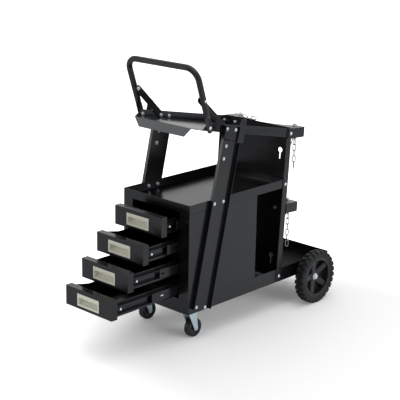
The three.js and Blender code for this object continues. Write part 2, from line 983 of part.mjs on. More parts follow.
// Axle bracket: a hanging plate with a tab before and behind the axle; the frame is the axle's
function axleBracket() {
  const roof = baseClearance - seam - wheelRadius;
  const outer = half - plate;
  const inner = outer - axleBracketThickness;
  const long = axleBracketLength / 2;
  const tabInner = inner - axleBracketTab;
  const tabFoot = roof - axleBracketThickness;
  const body = join(
    block(inner, outer, -long, long, roof - axleBracketDrop, roof),
    block(tabInner, outer, -long, -long + axleBracketTabLength, tabFoot, roof),
    block(tabInner, outer, long - axleBracketTabLength, long, tabFoot, roof),
  );
  return cut(body, rodX(axleRadius + boreFit, inner - plate, outer + plate, 0, 0, 20));
}

// Assembly
const cart = new THREE.Group();
const frontmost = -Math.max(...drawerOpen) - pullProud - seam;
cart.position.y = -(frontmost + baseLength) / 2;

piece(cart, 'base_pan', basePan(), powderCoat);
pair(cart, 'cabinet_side', cabinetSide(), powderCoat);
piece(cart, 'cabinet_divider', cabinetDivider(), powderCoat);
piece(cart, 'mid_shelf', midShelf(), powderCoat);
pair(cart, 'slide_rack', slideRack(), slideBlack);

drawerOpen.forEach((open, number) => {
  const foot = drawerFoot(number);
  const box = frame(cart, 0, -open, foot);
  piece(box, `drawer_${number + 1}`, drawer(), powderCoat);
  piece(box, `drawer_pull_${number + 1}`, drawerPull(), ivory);
  const slide = frame(cart, 0, slideFront - open / 2, foot + slideAboveDrawerBottom);
  pair(slide, `drawer_runner_${number + 1}`, runner(), slideBlack);
});

const frontPosts = frame(cart, 0, frontPostFootY, frontPostFootZ, -frontLean);
pair(frontPosts, 'front_post', frontPost(), powderCoat);
pair(frontPosts, 'cable_hook', cableHook(), powderCoat);

const rearPosts = frame(cart, 0, rearPostFootY, rearPostFootZ, -rearLean);
pair(rearPosts, 'rear_post', rearPost(), powderCoat);
piece(rearPosts, 'back_panel', backPanel(), powderCoat);

const tray = frame(cart, 0, trayRearY, trayRearZ, -trayTilt);
piece(tray, 'top_tray', topTray(), powderCoat);
pair(tray, 'handle_strut', handleStrut(), powderCoat);

const handle = frame(cart, 0, handleBoltY, handleBoltZ, handleLean);
piece(handle, 'handle', handleTubeShape(), powderCoat);

const brackets = [
  {
    level: 'upper',
    front: upperBracketSet,
    top: upperBracketTop,
    forward: upperBracketForward,
    tail: upperTailLinks,
  },
  {
    level: 'lower',
    front: seam,
    top: lowerBracketTop,
    forward: 0,
    tail: lowerTailLinks,
  },
];
for (const { level, front, top, forward, tail } of brackets) {
  const side = postInner + 2 * plate + seam;
  piece(rearPosts, `tank_bracket_${level}`, tankBracket(front, top, forward, side), powderCoat);
  const eyes = frame(rearPosts, 0, front + eyeSet, top);
  pair(eyes, `eye_bolt_${level}`, eyeBolt().translate(eyeX, 0, 0), zinc);
  const ringY = front + eyeSet;
  const ringUp = top - eyeDrop;
  const hangY = rearPostFootY + ringY * Math.cos(rearLean) + ringUp * Math.sin(rearLean);
  const hangUp = rearPostFootZ + ringUp * Math.cos(rearLean) - ringY * Math.sin(rearLean);
  const hang = frame(cart, 0, hangY, hangUp);
  piece(hang, `chain_${level}`, chainDrape(), zinc);
  piece(hang, `chain_tail_${level}`, chainTail(tail).translate(eyeX, 0, 0), zinc);
}

const casterTop = baseClearance - seam;
for (const [side, x] of [['right', casterX], ['left', -casterX]]) {
  const caster = frame(cart, x, casterY, casterTop);
  piece(caster, `caster_plate_${side}`, casterPlate(), zinc);
  piece(caster, `caster_fork_${side}`, casterFork(casterRadius - casterTop), zinc);
  const wheel = frame(cart, x, casterY + casterTrail, casterRadius);
  piece(wheel, `caster_wheel_${side}`, casterWheel(), darkPlastic);
}

const axle = frame(cart, 0, wheelY, wheelRadius);
const hubFace = wheelTrack / 2 + wheelWidth / 2 - hubRecess;
piece(axle, 'rear_axle', rodX(axleRadius, -hubFace - axleOverhang, hubFace + axleOverhang, 0, 0, 20), zinc);
pair(axle, 'axle_bracket', axleBracket(), powderCoat);
pair(axle, 'rear_tyre', rearTyre().translate(wheelTrack / 2, 0, 0), rubber);
pair(axle, 'rear_rim', rearRim().translate(wheelTrack / 2, 0, 0), darkPlastic);
const nut = prismX(ring(axleNutRadius, 6), hubFace + runningFit, hubFace + runningFit + axleNutLength, [
  ring(axleRadius + boreFit, 20),
]);
pair(axle, 'axle_nut', nut, zinc);

export default cart;
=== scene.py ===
"""Finished pieces and studio of a four-drawer welding cart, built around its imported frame."""

import json
import math

import bmesh
import bpy
from mathutils import Matrix, Vector


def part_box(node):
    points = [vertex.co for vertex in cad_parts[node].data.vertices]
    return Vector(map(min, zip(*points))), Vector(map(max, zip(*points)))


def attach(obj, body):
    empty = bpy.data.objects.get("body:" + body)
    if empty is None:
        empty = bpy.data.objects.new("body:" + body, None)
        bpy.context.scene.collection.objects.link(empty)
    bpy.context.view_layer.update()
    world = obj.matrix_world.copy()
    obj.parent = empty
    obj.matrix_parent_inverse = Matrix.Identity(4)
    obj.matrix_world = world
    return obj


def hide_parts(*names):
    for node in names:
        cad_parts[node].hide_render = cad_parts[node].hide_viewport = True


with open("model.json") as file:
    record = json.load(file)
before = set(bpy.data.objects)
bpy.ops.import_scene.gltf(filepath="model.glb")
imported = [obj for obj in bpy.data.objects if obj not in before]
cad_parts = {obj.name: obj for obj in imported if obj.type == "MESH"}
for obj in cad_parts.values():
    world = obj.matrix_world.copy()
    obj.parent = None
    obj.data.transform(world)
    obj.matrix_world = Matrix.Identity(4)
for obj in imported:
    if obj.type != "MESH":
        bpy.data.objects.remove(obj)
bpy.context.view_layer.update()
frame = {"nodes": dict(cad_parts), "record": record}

bl_info = {
    "name": "Welding cart pieces",
    "version": (1, 0, 0),
    "blender": (4, 5, 0),
    "location": "3D View > Sidebar > Cart",
    "description": "Builds the finished pieces of a four-drawer welding cart and its studio",
    "category": "Object",
}

# Places are in millimetres from the cabinet front, the middle plane and the floor, as in the part's drawing.
MM = 0.001
CABINET_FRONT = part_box("base_pan")[0].y
SIDES = (("right", 1), ("left", -1))
DRAWERS = (1, 2, 3, 4)
BODY_OF = {node: body for body, nodes in frame["record"]["behaviour"]["bodies"].items() for node in nodes}


def spot(x, y, z):
    """A drawing place in the frame, in metres."""
    return Vector((x * MM, CABINET_FRONT + y * MM, z * MM))


def leaning(y, z, angle):
    """A sub-frame in millimetres at a drawing place, turned about X by an angle in degrees."""
    turn = Matrix.Rotation(math.radians(angle), 4, "X")
    return Matrix.Translation(spot(0, y, z)) @ turn @ Matrix.Scale(MM, 4)


REAR_POST = leaning(466.7, 103.4, -3.3)
TRAY = leaning(496.7, 612.6, -11.7)
HANDLE = leaning(82, 709, 18.83)
AXLE = leaning(612, 95, 0)
UNMOVED = Matrix.Identity(4)

POST_FACE = 152.3
STRAP_FACE = 154.6
RAIL_INSIDE = 148.5

# Merging distance in millimetres, then angles: flat faces in radians, the others in degrees.
MERGE = 0.01
FLAT_ANGLE = 0.01
FOLD_ANGLE = 32
FOLD_SMOOTH = 16
SMOOTH_ANGLE = 35

COOL = (0.90, 0.94, 1.0, 1)
WHITE = (1, 1, 1, 1)
MOTTLE_RANGE = (0.3, 0.7)

# Shares: a nut's washer of the nut's radius and height, a link's rounding of its width.
WASHER_SHARES = (1.3, 0.5)
LINK_ROUNDING = 0.499

FLOAT = "NodeSocketFloat"
GEOMETRY = "NodeSocketGeometry"


def turns(count, start=0):
    """Angles evenly spaced around a circle."""
    return [2 * math.pi * (step + start) / count for step in range(count)]


def distance(name, description, default, low, high):
    """A length property, in metres."""
    return bpy.props.FloatProperty(
        name=name, description=description, default=default, min=low, max=high, unit="LENGTH", precision=5)


def colour(name, description, default):
    """A colour property."""
    return bpy.props.FloatVectorProperty(
        name=name, description=description, default=default, subtype="COLOR", size=3, min=0, max=1)


class CartSizes(bpy.types.PropertyGroup):
    """Sizes of the details that are added to the frame."""

    edge_radius: distance("Fold radius", "Rounding of folded and cut sheet edges", 0.00055, 0.0001, 0.0007)
    pull_radius: distance("Pull rounding", "Rounding of the moulded drawer pulls", 0.0008, 0.0001, 0.001)
    bolt_head: distance("Bolt head radius", "Radius of the domed bolt heads", 0.0046, 0.002, 0.01)
    bolt_dome: distance("Bolt dome height", "Height of the domed bolt heads", 0.0034, 0.001, 0.006)
    nut_radius: distance("Nut radius", "Corner radius of the hexagon nuts", 0.0050, 0.003, 0.01)
    link_wire: distance("Chain wire", "Wire diameter of the chain links", 0.0033, 0.001, 0.005)
    lug_count: bpy.props.IntProperty(
        name="Tread lugs", description="Lugs around each shoulder of a rear tyre", default=26, min=12, max=40)
    spoke_count: bpy.props.IntProperty(
        name="Spokes", description="Spokes in each rear rim", default=5, min=3, max=8)


class CartFinish(bpy.types.PropertyGroup):
    """Colours of the finishes and of the studio."""

    coat: colour("Powder coat", "Black powder coat of the sheet steel", (0.0034, 0.0036, 0.0041))
    slide: colour("Slide steel", "Black coat of the drawer slides", (0.0042, 0.0044, 0.0049))
    zinc: colour("Bright zinc", "Zinc plating of bolts, nuts and eye bolts", (0.66, 0.69, 0.71))
    dull_zinc: colour("Dull zinc", "Zinc plating of the chains and panel nuts", (0.28, 0.29, 0.29))
    blue_zinc: colour("Blue zinc", "Bluish zinc plating of the casters", (0.50, 0.60, 0.66))
    ivory: colour("Ivory plastic", "Moulded drawer pulls", (0.70, 0.70, 0.60))
    rubber: colour("Rubber", "Tyres", (0.0075, 0.0077, 0.0082))
    plastic: colour("Black plastic", "Rims and caster wheels", (0.0075, 0.0077, 0.0083))
    floor: colour("Floor", "Pale studio floor", (0.88, 0.88, 0.88))


# Node helpers


class Nodes:
    """A node tree under construction."""

    def __init__(self, tree):
        self.tree = tree

    def feed(self, node, values):
        """Links sockets to a node's inputs, or writes plain values on them."""
        for key, value in values.items():
            if isinstance(value, bpy.types.NodeSocket):
                self.tree.links.new(value, node.inputs[key])
            else:
                node.inputs[key].default_value = value

    def add(self, kind, values=None, **settings):
        """Adds a node and gives its outputs."""
        node = self.tree.nodes.new(kind)
        for key, setting in settings.items():
            setattr(node, key, setting)
        self.feed(node, values or {})
        return node.outputs

    def math(self, operation, first, second):
        return self.add("ShaderNodeMath", {0: first, 1: second}, operation=operation)[0]

    def xyz(self, **axes):
        return self.add("ShaderNodeCombineXYZ", axes)[0]

    def ramp(self, value, reach, levels, **settings):
        """A value brought from one range to another."""
        keys = ("Value", "From Min", "From Max", "To Min", "To Max")
        values = dict(zip(keys, (value, *reach, *levels)))
        return self.add("ShaderNodeMapRange", values, **settings)["Result"]


class Group(Nodes):
    """A node group under construction, with named sockets."""

    def __init__(self, name, kind, inputs, outputs):
        super().__init__(bpy.data.node_groups.new(name, kind))
        for label, socket, default in inputs:
            made = self.tree.interface.new_socket(name=label, in_out="INPUT", socket_type=socket)
            if default is not None:
                made.default_value = default
        for label, socket in outputs:
            self.tree.interface.new_socket(name=label, in_out="OUTPUT", socket_type=socket)
        self.source = self.tree.nodes.new("NodeGroupInput").outputs
        self.result = self.tree.nodes.new("NodeGroupOutput")


class Form(Group):
    """A geometry group under construction, from geometry and a finish."""

    def __init__(self, name, source, inputs, result):
        sockets = ((source, GEOMETRY, None), *inputs, ("Finish", "NodeSocketMaterial", None))
        super().__init__(name, "GeometryNodeTree", sockets, ((result, GEOMETRY),))
        self.given = self.source[source]

    def raised(self, mesh, height):
        return self.add("GeometryNodeTransform", {"Geometry": mesh, "Translation": self.xyz(Z=height)})[0]

    def rod(self, sides, radius, length):
        """A cylinder that stands on the ground plane."""
        values = {"Vertices": sides, "Radius": radius, "Depth": length}
        mesh = self.add("GeometryNodeMeshCylinder", values)["Mesh"]
        return self.raised(mesh, self.math("MULTIPLY", length, 0.5))

    def copied(self, points, shape, turn):
        """Puts a shape at points, as realized mesh in the finish."""
        values = {"Points": points, "Instance": shape, "Rotation": turn}
        copies = self.add("GeometryNodeInstanceOnPoints", values)[0]
        real = self.add("GeometryNodeRealizeInstances", {"Geometry": copies})[0]
        values = {"Geometry": real, "Material": self.source["Finish"]}
        self.feed(self.result, {0: self.add("GeometryNodeSetMaterial", values)[0]})

    def placed(self, *parts):
        """Puts the joined parts at the given points, turned by the attribute turn."""
        joined = self.add("GeometryNodeJoinGeometry")[0]
        for part in reversed(parts):
            self.feed(joined.node, {0: part})
        turn = self.add("GeometryNodeInputNamedAttribute", {"Name": "turn"}, data_type="FLOAT_VECTOR")
        self.copied(self.given, joined, turn["Attribute"])


# Finishes


def surface_group(name, fine_texture, cloud_detail):
    """A shader group on Object coordinates, its fine texture and its cloud."""
    group = Group(name, "ShaderNodeTree", (("Scale", FLOAT, 1.0), ("Cloud", FLOAT, 1.0)),
                  (("Height", FLOAT), ("Mottle", FLOAT)))
    place = group.add("ShaderNodeTexCoord")["Object"]
    fine = group.add(fine_texture, {"Vector": place, "Scale": group.source["Scale"]})
    values = {"Vector": place, "Scale": group.source["Cloud"], "Detail": cloud_detail}
    return group, fine, group.add("ShaderNodeTexNoise", values)["Fac"]


def surface_groups():
    """Shader groups that the finishes share."""
    peel, ripple, cloud = surface_group("Orange peel", "ShaderNodeTexNoise", 4.0)
    peel.feed(peel.result, {"Height": ripple["Fac"], "Mottle": cloud})
    grain, cells, cloud = surface_group("Moulded grain", "ShaderNodeTexVoronoi", 5.0)
    grain.feed(grain.result, {"Height": cells["Distance"], "Mottle": cloud})
    bloom, cells, cloud = surface_group("Zinc bloom", "ShaderNodeTexVoronoi", 6.0)
    half = bloom.math("MULTIPLY", cells["Distance"], 0.5)
    bloom.feed(bloom.result, {"Height": cloud, "Mottle": bloom.math("ADD", half, cloud)})


def finish_material(name, colours, group, scale, cloud, rough, spread, bump, metallic=0.0, ior=1.5,
                    tint=WHITE):
    """A material whose colour, roughness and normal follow a surface group."""
    material = bpy.data.materials.new(name)
    material.use_nodes = True
    work = Nodes(material.node_tree)
    surface = work.add("ShaderNodeGroup", {"Scale": scale, "Cloud": cloud},
                       node_tree=bpy.data.node_groups[group])
    shade = work.add("ShaderNodeMix", {
        "Factor": surface["Mottle"],
        "A": [channel * (1 - spread) for channel in colours] + [1],
        "B": [min(channel * (1 + spread), 1) for channel in colours] + [1]}, data_type="RGBA")
    gloss = work.ramp(surface["Mottle"], MOTTLE_RANGE, rough)
    relief = work.add("ShaderNodeBump", {
        "Height": surface["Height"], "Strength": bump[0], "Distance": bump[1]})
    work.feed(material.node_tree.nodes["Principled BSDF"], {
        "Base Color": shade["Result"], "Roughness": gloss, "Normal": relief["Normal"],
        "Metallic": metallic, "IOR": ior, "Specular Tint": tint})


def finish(name):
    return bpy.data.materials[name]


# Geometry node groups


def bolt_form():
    """Domed bolt heads on washers."""
    form = Form("Domed bolts", "Points", (
        ("Head radius", FLOAT, 0.0056), ("Dome height", FLOAT, 0.0034),
        ("Washer radius", FLOAT, 0.0074), ("Washer thickness", FLOAT, 0.0012)), "Bolts")
    get = form.source
    ball = form.add("GeometryNodeMeshUVSphere", {"Segments": 20, "Rings": 12, "Radius": 1.0})["Mesh"]
    place = form.add("ShaderNodeSeparateXYZ", {0: form.add("GeometryNodeInputPosition")[0]})
    flat = form.xyz(X=place["X"], Y=place["Y"], Z=form.math("MAXIMUM", place["Z"], 0.0))
    dome = form.add("GeometryNodeSetPosition", {"Geometry": ball, "Position": flat})[0]
    size = form.xyz(X=get["Head radius"], Y=get["Head radius"], Z=get["Dome height"])
    head = form.add("GeometryNodeTransform", {"Geometry": dome, "Scale": size})[0]
    form.placed(form.raised(head, get["Washer thickness"]),
                form.rod(24, get["Washer radius"], get["Washer thickness"]))


def nut_form():
    """Hexagon nuts on washers with the bolt's end standing out."""
    form = Form("Hexagon nuts", "Points", (
        ("Nut radius", FLOAT, 0.0058), ("Nut height", FLOAT, 0.0046),
        ("Shank radius", FLOAT, 0.003), ("Shank length", FLOAT, 0.0075)), "Nuts")
    get = form.source
    wide = form.math("MULTIPLY", get["Nut radius"], WASHER_SHARES[0])
    thin = form.math("MULTIPLY", get["Nut height"], WASHER_SHARES[1])
    form.placed(form.rod(6, get["Nut radius"], get["Nut height"]),
                form.rod(14, get["Shank radius"], get["Shank length"]),
                form.rod(24, wide, thin))


def link_form():
    """Chain links of round wire."""
    form = Form("Chain links", "Points", (
        ("Inner length", FLOAT, 0.0196), ("Width", FLOAT, 0.013), ("Wire", FLOAT, 0.0032)), "Links")
    get = form.source
    across = form.math("SUBTRACT", get["Width"], get["Wire"])
    along = form.math("ADD", get["Inner length"], get["Wire"])
    oblong = form.add("GeometryNodeCurvePrimitiveQuadrilateral", {"Width": across, "Height": along})[0]
    corners = {"Curve": oblong, "Radius": form.math("MULTIPLY", across, LINK_ROUNDING), "Count": 6}
    rounded = form.add("GeometryNodeFilletCurve", corners, mode="POLY")[0]
    section = form.add("GeometryNodeCurvePrimitiveCircle", {
        "Resolution": 10, "Radius": form.math("MULTIPLY", get["Wire"], 0.5)})["Curve"]
    form.placed(form.add("GeometryNodeCurveToMesh", {"Curve": rounded, "Profile Curve": section})[0])


def ring_form():
    """Copies of a shape around the X axis, evenly spaced from a start angle."""
    form = Form("Ring of copies", "Shape", (("Count", "NodeSocketInt", 5), ("Start", FLOAT, 0.0)), "Ring")
    get = form.source
    points = form.add("GeometryNodePoints", {"Count": get["Count"]})[0]
    step = form.math("DIVIDE", 2 * math.pi, get["Count"])
    angle = form.math("MULTIPLY", form.add("GeometryNodeInputIndex")[0], step)
    form.copied(points, form.given, form.xyz(X=form.math("ADD", angle, get["Start"])))


# Mesh helpers


def shown(name, data):
    piece = bpy.data.objects.new(name, data)
    bpy.context.scene.collection.objects.link(piece)
    return piece


def settled(piece):
    """Turns the piece's modifiers into plain mesh."""
    graph = bpy.context.evaluated_depsgraph_get()
    mesh = bpy.data.meshes.new_from_object(piece.evaluated_get(graph), depsgraph=graph)
    piece.modifiers.clear()
    piece.data = mesh
    mesh.name = piece.name


def grown(piece, form, **values):
    """Runs a geometry node group on the piece and keeps the result as plain mesh."""
    modifier = piece.modifiers.new("form", "NODES")
    modifier.node_group = bpy.data.node_groups[form]
    for item in modifier.node_group.interface.items_tree:
        key = item.name.replace(" ", "_").lower()
        if item.in_out == "INPUT" and key in values:
            modifier[item.identifier] = values[key]
    settled(piece)
    if "turn" in piece.data.attributes:
        piece.data.attributes.remove(piece.data.attributes["turn"])
    return piece


def smooth(mesh, angle=SMOOTH_ANGLE):
    mesh.shade_smooth()
    mesh.set_sharp_from_angle(angle=math.radians(angle))


def poured(name, shape, material):
    """A mesh of one material from a bmesh, which is freed."""
    mesh = bpy.data.meshes.new(name)
    shape.to_mesh(mesh)
    shape.free()
    mesh.materials.append(material)
    return mesh


def built(name, make, material, matrix=UNMOVED, angle=SMOOTH_ANGLE):
    """An object from a function that fills a bmesh in a millimetre sub-frame."""
    shape = bmesh.new()
    make(shape)
    bmesh.ops.remove_doubles(shape, verts=shape.verts, dist=MERGE)
    bmesh.ops.recalc_face_normals(shape, faces=shape.faces)
    bmesh.ops.transform(shape, matrix=matrix, verts=shape.verts)
    mesh = poured(name, shape, finish(material))
    smooth(mesh, angle)
    return shown(name, mesh)


def together(name, pieces):
    """Joins finished pieces of one material into a new one."""
    shape = bmesh.new()
    for piece in pieces:
        shape.from_mesh(piece.data)
    mesh = poured(name, shape, pieces[0].data.materials[0])
    for face in mesh.polygons:
        face.material_index = 0
    for piece in pieces:
        bpy.data.objects.remove(piece)
    smooth(mesh)
    return shown(name, mesh)


def skin(shape, rings, closed=False, capped=True):
    """Faces between rings of points; a ring may be one point, and open ends may be capped."""
    rings = [[shape.verts.new(point) for point in ring] for ring in rings]
    pairs = list(zip(rings, rings[1:]))
    if closed:
        pairs.append((rings[-1], rings[0]))
    for first, second in pairs:
        count = max(len(first), len(second))
        for step in range(count):
            after = (step + 1) % count
            corners = (first[step % len(first)], first[after % len(first)],
                       second[after % len(second)], second[step % len(second)])
            shape.faces.new(list(dict.fromkeys(corners)))
    if capped and not closed:
        shape.faces.new(rings[0])
        shape.faces.new(rings[-1])


def lathe(shape, profile, segments, axis="X", closed=True):
    """Turns a profile of (place on the axis, radius) about the axis."""
    shift = "XYZ".index(axis)
    rings = []
    for along, radius in profile:
        ring = [(along, radius * math.cos(angle), radius * math.sin(angle))
                for angle in turns(segments if radius > 0 else 1)]
        rings.append([point[-shift:] + point[:-shift] for point in ring])
    skin(shape, rings, closed, capped=False)


def lathed(name, section, segments, material, matrix=UNMOVED):
    """An object turned about the X axis."""
    return built(name, lambda shape: lathe(shape, section, segments), material, matrix)


def mirrored(half):
    """A section and its mirror image; a point on the middle plane is kept once."""
    return [*half, *((-along, radius) for along, radius in reversed(half) if along)]


def prism(shape, outline, low, high):
    """An outline in Y and Z, raised along X from low to high."""
    skin(shape, [[(x, *point) for point in outline] for x in (low, high)])


def pinned(name, places, form, material, **values):
    """A piece with a fastener at each place, given as (point, turn of the upward direction)."""
    mesh = bpy.data.meshes.new(name)
    mesh.from_pydata([point for point, _ in places], [], [])
    turn = mesh.attributes.new("turn", "FLOAT_VECTOR", "POINT")
    for index, (_, outward) in enumerate(places):
        turn.data[index].vector = outward
    piece = grown(shown(name, mesh), form, finish=finish(material), **values)
    smooth(piece.data)
    return piece


def facing(direction):
    """Euler turn that takes +Z to a direction."""
    return Vector(direction).to_track_quat("Z", "Y").to_euler()


def softened(node, material, radius, steps=2, cutters=()):
    """A copy of a frame node with rounded folds and edges, which stands for the node."""
    shape = bmesh.new()
    shape.from_mesh(frame["nodes"][node].data)
    bmesh.ops.remove_doubles(shape, verts=shape.verts, dist=MERGE * MM)
    bmesh.ops.dissolve_limit(shape, angle_limit=FLAT_ANGLE, verts=shape.verts, edges=shape.edges)
    piece = shown(f"{node}_formed", poured(node, shape, finish(material)))
    for cutter in cutters:
        hole = piece.modifiers.new("slot", "BOOLEAN")
        hole.object = cutter
        hole.operation = "DIFFERENCE"
        hole.solver = "EXACT"
    edge = piece.modifiers.new("fold", "BEVEL")
    edge.width = radius
    edge.segments = steps
    edge.limit_method = "ANGLE"
    edge.angle_limit = math.radians(FOLD_ANGLE)
    edge.use_clamp_overlap = False
    settled(piece)
    smooth(piece.data, FOLD_SMOOTH)
    for cutter in cutters:
        bpy.data.objects.remove(cutter)
    stands_for(piece, node)


def stands_for(piece, node):
    """Puts a new piece on the body of the node that it replaces."""
    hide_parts(node)
    carried(piece, BODY_OF[node])


def carried(piece, body):
    """Puts an added piece on a body."""
    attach(piece, body)


# Operators


class CART_OT_finishes(bpy.types.Operator):
    """Make the finishes of the cart"""

    bl_idname = "cart.finishes"
    bl_label = "Finishes"

    # Name, colour, surface group, its scales, roughness, spread of colour, bump, index of refraction.
    blacks = (
        ("powder_coat", "coat", "Orange peel", 650, 6, (0.20, 0.25), 0.18, (0.02, 0.0002), 1.42),
        # The base pan's upward faces get a rougher coat. Its low index of refraction is painted shade that
        # dims their reflections.
        ("dusty_coat", "coat", "Orange peel", 650, 9, (0.55, 0.68), 0.25, (0.06, 0.0002), 1.22),
        ("slide_steel", "slide", "Orange peel", 900, 20, (0.18, 0.26), 0.2, (0.04, 0.0001), 1.42),
        ("tyre_rubber", "rubber", "Moulded grain", 1100, 40, (0.48, 0.64), 0.25, (0.15, 0.0002), 1.34),
        ("black_plastic", "plastic", "Moulded grain", 1500, 30, (0.34, 0.46), 0.2, (0.1, 0.0001), 1.42))
    ivory = ("ivory_plastic", "ivory", "Moulded grain", 1400, 30, (0.40, 0.52), 0.05, (0.08, 0.0001))
    platings = (
        ("bright_zinc", "zinc", "Zinc bloom", 420, 160, (0.20, 0.34), 0.12, (0.05, 0.0001)),
        ("dull_zinc", "dull_zinc", "Zinc bloom", 420, 160, (0.26, 0.40), 0.2, (0.05, 0.0001)),
        ("blue_zinc", "blue_zinc", "Zinc bloom", 300, 90, (0.24, 0.38), 0.14, (0.05, 0.0001)))

    def execute(self, context):
        look = context.scene.cart_finish
        surface_groups()
        for name, key, *values, ior in self.blacks:
            finish_material(name, getattr(look, key), *values, ior=ior, tint=COOL)
        name, key, *values = self.ivory
        finish_material(name, getattr(look, key), *values)
        for name, key, *values in self.platings:
            finish_material(name, getattr(look, key), *values, metallic=1.0)
        return {"FINISHED"}


class CART_OT_sheet_metal(bpy.types.Operator):
    """Round the folds of the frame, panels, shelf, tray and brackets"""

    bl_idname = "cart.sheet_metal"
    bl_label = "Sheet metal"

    # Base pan faces that point up more steeply than this take the rougher coat with painted shade.
    painted_shade_top_from = 0.7

    def execute(self, context):
        radius = context.scene.cart_sizes.edge_radius
        single = ["base_pan", "cabinet_divider", "mid_shelf", "back_panel", "top_tray",
                  "tank_bracket_upper", "tank_bracket_lower"]
        paired = ["cabinet_side", "front_post", "rear_post", "cable_hook", "handle_strut", "axle_bracket"]
        for node in single + [f"{name}_{side}" for name in paired for side, _ in SIDES]:
            softened(node, "powder_coat", radius)
        # The base pan's upward faces take the rougher coat with painted shade, which dims their reflections.
        pan = bpy.data.objects["base_pan_formed"].data
        pan.materials.append(finish("dusty_coat"))
        for face in pan.polygons:
            face.material_index = int(face.normal.z > self.painted_shade_top_from)
        for side, _ in SIDES:
            frame["nodes"][f"slide_rack_{side}"].material_slots[0].material = finish("slide_steel")
        return {"FINISHED"}


class CART_OT_drawers(bpy.types.Operator):
    """Form the drawers, pulls, slide members, screws and slots"""

    bl_idname = "cart.drawers"
    bl_label = "Drawers"

    pull_steps = 3
    runner_edge = 0.0003
    rail_face = 94.2
    rail_height = 28.5
    screw_behind_front = 43
    screw = dict(head_radius=0.0042, dome_height=0.0016, washer_radius=0.0042, washer_thickness=0.0080)
    ball = dict(head_radius=0.0017, dome_height=0.0012, washer_radius=0.0017, washer_thickness=0.0006)
    ball_from = 62
    ball_step = 13
    ball_count = 16
    ball_row = 7.6
    slots_behind_end = (45, 45, 14, 45)
    slot_length = 13
    slot_height = 5
    slot_depth = 4
    slot_corners = 16
    # Drawers whose slots get a bright zinc tab. This is a painted highlight: only the light on them makes
    # these slots brighter than the others.
    painted_glint_slots = (4,)
    tab_share = (0.96, 0.92)
    tab_depths = (1.1, 0.2)

    def on_rail(self, front, sign, along, rise=0):
        """A place on a drawer's rail, behind its front, that faces outwards."""
        place = Vector((sign * self.rail_face, along, self.rail_height + rise)) * MM
        return place + Vector((0, front.y, front.z)), facing((sign, 0, 0))

    def screws(self, front):
        return [self.on_rail(front, sign, self.screw_behind_front) for _, sign in SIDES]

    def balls(self, front):
        """Two rows of balls along each rail of a drawer."""
        return [self.on_rail(front, sign, self.ball_from + index * self.ball_step, row * self.ball_row)
                for _, sign in SIDES for row in (-1, 1) for index in range(self.ball_count)]

    def slot(self, number, node, sign):
        """Place of the slot near a slide member's front end, and its outline."""
        low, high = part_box(node)
        outer = sign * max(abs(low.x), abs(high.x))
        along = low.y + self.slots_behind_end[number - 1] * MM
        place = Matrix.Translation((outer, along, (low.z + high.z) / 2)) @ Matrix.Scale(MM, 4)
        half = (self.slot_length - self.slot_height) / 2
        radius = self.slot_height / 2
        outline = []
        for angle in turns(self.slot_corners, 0.5):
            y = radius * math.cos(angle)
            outline.append((y + math.copysign(half, y), radius * math.sin(angle)))
        return place, outline

    def runner(self, number, side, sign):
        """A slide member with its slot. The slots of some get a bright zinc tab, a painted highlight where
        light falls on them.
        """
        node = f"drawer_runner_{number}_{side}"
        place, outline = self.slot(number, node, sign)
        cutter = built("slot_cutter", lambda shape: prism(
            shape, outline, -self.slot_depth, self.slot_depth), "slide_steel", place)
        softened(node, "slide_steel", self.runner_edge, cutters=[cutter])
        # Painted highlight: a bright zinc tab in the slot.
        if number in self.painted_glint_slots:
            inner = [(y * self.tab_share[0], z * self.tab_share[1]) for y, z in outline]
            depths = [-sign * depth for depth in self.tab_depths]
            glint_tab = built(f"slide_tab_{number}_{side}", lambda shape: prism(
                shape, inner, *depths), "bright_zinc", place)
            carried(glint_tab, BODY_OF[node])

    def execute(self, context):
        sizes = context.scene.cart_sizes
        for number in DRAWERS:
            drawer = f"drawer_{number}"
            softened(drawer, "powder_coat", sizes.edge_radius)
            softened(f"drawer_pull_{number}", "ivory_plastic", sizes.pull_radius, self.pull_steps)
            for side, sign in SIDES:
                self.runner(number, side, sign)
            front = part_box(drawer)[0]
            screws = pinned(f"slide_screws_{number}", self.screws(front), "Domed bolts", "bright_zinc",
                            **self.screw)
            carried(screws, drawer)
            balls = pinned(f"slide_balls_{number}", self.balls(front), "Domed bolts", "slide_steel",
                           **self.ball)
            carried(balls, drawer)
        return {"FINISHED"}


